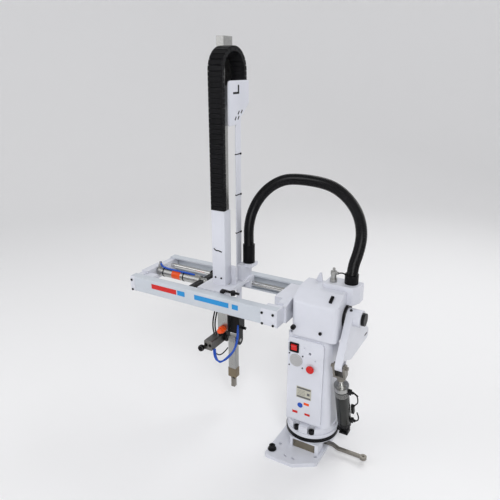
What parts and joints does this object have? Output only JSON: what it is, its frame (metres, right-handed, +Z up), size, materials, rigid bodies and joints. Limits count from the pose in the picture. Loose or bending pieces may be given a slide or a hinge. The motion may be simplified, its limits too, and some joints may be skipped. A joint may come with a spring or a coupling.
{
  "type": "pneumatic swing-arm take-out robot",
  "caption": "Take-out robot on a swivel column: a swinging twin-rail frame carries a crosswise carriage, a long vertical arm with a drag chain, and a flip-over gripper.",
  "frame": {"origin": "on the column's swivel axis, at the underside of the base plate", "axes": "+Z up along the swivel axis, +X along the rails towards the column, +Y to the back"},
  "size_m": [0.843, 0.307, 1.267],
  "materials": {
    "white_paint": "satin powder coat",
    "grey_steel": "brushed",
    "chrome_rod": "polished",
    "silver_alu": "anodised",
    "black_steel": "black oxide",
    "black_plastic": "matt",
    "black_rubber": "matt",
    "brass_bush": "turned",
    "bronze_jaw": "worn",
    "red_plastic": "gloss",
    "blue_plastic": "gloss"
  },
  "bodies": {
    "base": {"base_plate": "white_paint", "base_casting": "white_paint", "pivot_bush": "brass_bush", "swivel_ring": "black_plastic", "base_bolts": "black_steel"},
    "lock_arm": {"lock_lever": "grey_steel"},
    "column": {"column_foot": "white_paint", "swivel_pin": "grey_steel", "column_screws": "black_steel", "column_housing": "white_paint", "switch_bezel": "black_plastic", "buzzer": "silver_alu", "shoulder_housing": "white_paint", "shaft_bearings": "grey_steel", "valve_box": "white_paint", "hose_cuff_right": "black_plastic", "air_fitting": "black_plastic", "cylinder_bracket": "black_steel", "hose_right": "black_rubber"},
    "rocker": {"switch_rocker": "red_plastic"},
    "button": {"push_button": "red_plastic"},
    "frame": {"swing_shaft": "grey_steel", "shaft_collars": "black_steel", "swing_lever": "white_paint", "front_rail": "white_paint", "back_rail": "white_paint", "right_end": "white_paint", "left_end": "white_paint", "guide_rods": "chrome_rod", "cross_bridge": "silver_alu", "frame_fasteners": "black_steel", "cross_barrel": "silver_alu", "cross_caps": "silver_alu"},
    "swing_barrel": {"cylinder_barrel": "black_steel", "cylinder_cap": "black_steel", "cylinder_head": "silver_alu", "cylinder_ports": "black_plastic"},
    "swing_piston": {"swing_rod": "chrome_rod", "rod_clevis": "grey_steel", "clevis_pin": "grey_steel"},
    "carriage": {"carriage": "white_paint", "tower_cover": "white_paint", "cable_box": "white_paint", "hose_cuff_left": "black_plastic", "cross_stop": "black_steel", "cross_rod": "chrome_rod", "chain_leg_fixed": "black_plastic", "hose_left": "black_rubber"},
    "chain_turn": {"chain_bend": "black_plastic"},
    "arm": {"arm_beam": "silver_alu", "chain_bracket": "white_paint", "chain_end_block": "silver_alu", "tube_strip": "white_paint", "chain_leg_moving": "black_plastic", "gripper_mount": "black_steel", "flip_cylinder": "silver_alu"},
    "chuck": {"chuck_body": "silver_alu", "chuck_nose": "bronze_jaw"},
    "left_jaw": {"jaw_left": "grey_steel"},
    "right_jaw": {"jaw_right": "grey_steel"}
  },
  "joints": [
    {"name": "lock_turn", "type": "hinge", "parent": "base", "child": "lock_arm", "pos_m": [0.036, -0.005, 0.018], "axis": [0, 0, 1], "range_deg": [-12, 12]},
    {"name": "base_swivel", "type": "hinge", "parent": "base", "child": "column", "pos_m": [0, 0, 0.061], "axis": [0, 0, 1], "range_deg": [-90, 90]},
    {"name": "rocker_tilt", "type": "hinge", "parent": "column", "child": "rocker", "pos_m": [0, -0.064, 0.373], "axis": [1, 0, 0], "range_deg": [-12, 12]},
    {"name": "button_press", "type": "slide", "parent": "column", "child": "button", "axis": [0, 1, 0], "range_m": [0, 0.0035], "stiffness_N_per_m": 300},
    {"name": "frame_swing", "type": "hinge", "parent": "column", "child": "frame", "pos_m": [0, 0.01, 0.48], "axis": [-1, 0, 0], "range_deg": [0, 45], "deforming": ["hose_right", "hose_left"]},
    {"name": "cylinder_lean", "type": "hinge", "parent": "column", "child": "swing_barrel", "pos_m": [0.105, 0.02, 0.08], "axis": [1, 0, 0], "range_deg": [0, 6]},
    {"name": "piston_stroke", "type": "slide", "parent": "swing_barrel", "child": "swing_piston", "axis": [0, -0.31, 0.9507], "range_m": [0, 0.112]},
    {"name": "cross_slide", "type": "slide", "parent": "frame", "child": "carriage", "axis": [1, 0, 0], "range_m": [0, 0.13]},
    {"name": "lift", "type": "slide", "parent": "carriage", "child": "arm", "axis": [0, 0, -1], "range_m": [0, 0.55], "deforming": ["chain_leg_fixed", "chain_leg_moving"]},
    {"name": "chain_roll", "type": "slide", "parent": "carriage", "child": "chain_turn", "axis": [0, 0, -1], "range_m": [0, 0.275]},
    {"name": "gripper_flip", "type": "hinge", "parent": "arm", "child": "chuck", "pos_m": [-0.322, 0.03, 0.281], "axis": [1, 0, 0], "range_deg": [0, 90]},
    {"name": "jaw_open", "type": "hinge", "parent": "chuck", "child": "left_jaw", "pos_m": [-0.322, 0.03, 0.148], "axis": [0, 1, 0], "range_deg": [0, 12]},
    {"name": "jaw_follow", "type": "hinge", "parent": "chuck", "child": "right_jaw", "pos_m": [-0.322, 0.03, 0.148], "axis": [0, -1, 0], "range_deg": [0, 12]}
  ],
  "couplings": [
    {"joint": "cylinder_lean", "follows": "frame_swing", "ratio": 0.1109},
    {"joint": "piston_stroke", "follows": "frame_swing", "m_per_rad": 0.14082},
    {"joint": "chain_roll", "follows": "lift", "ratio": 0.5},
    {"joint": "jaw_follow", "follows": "jaw_open", "ratio": 1}
  ]
}
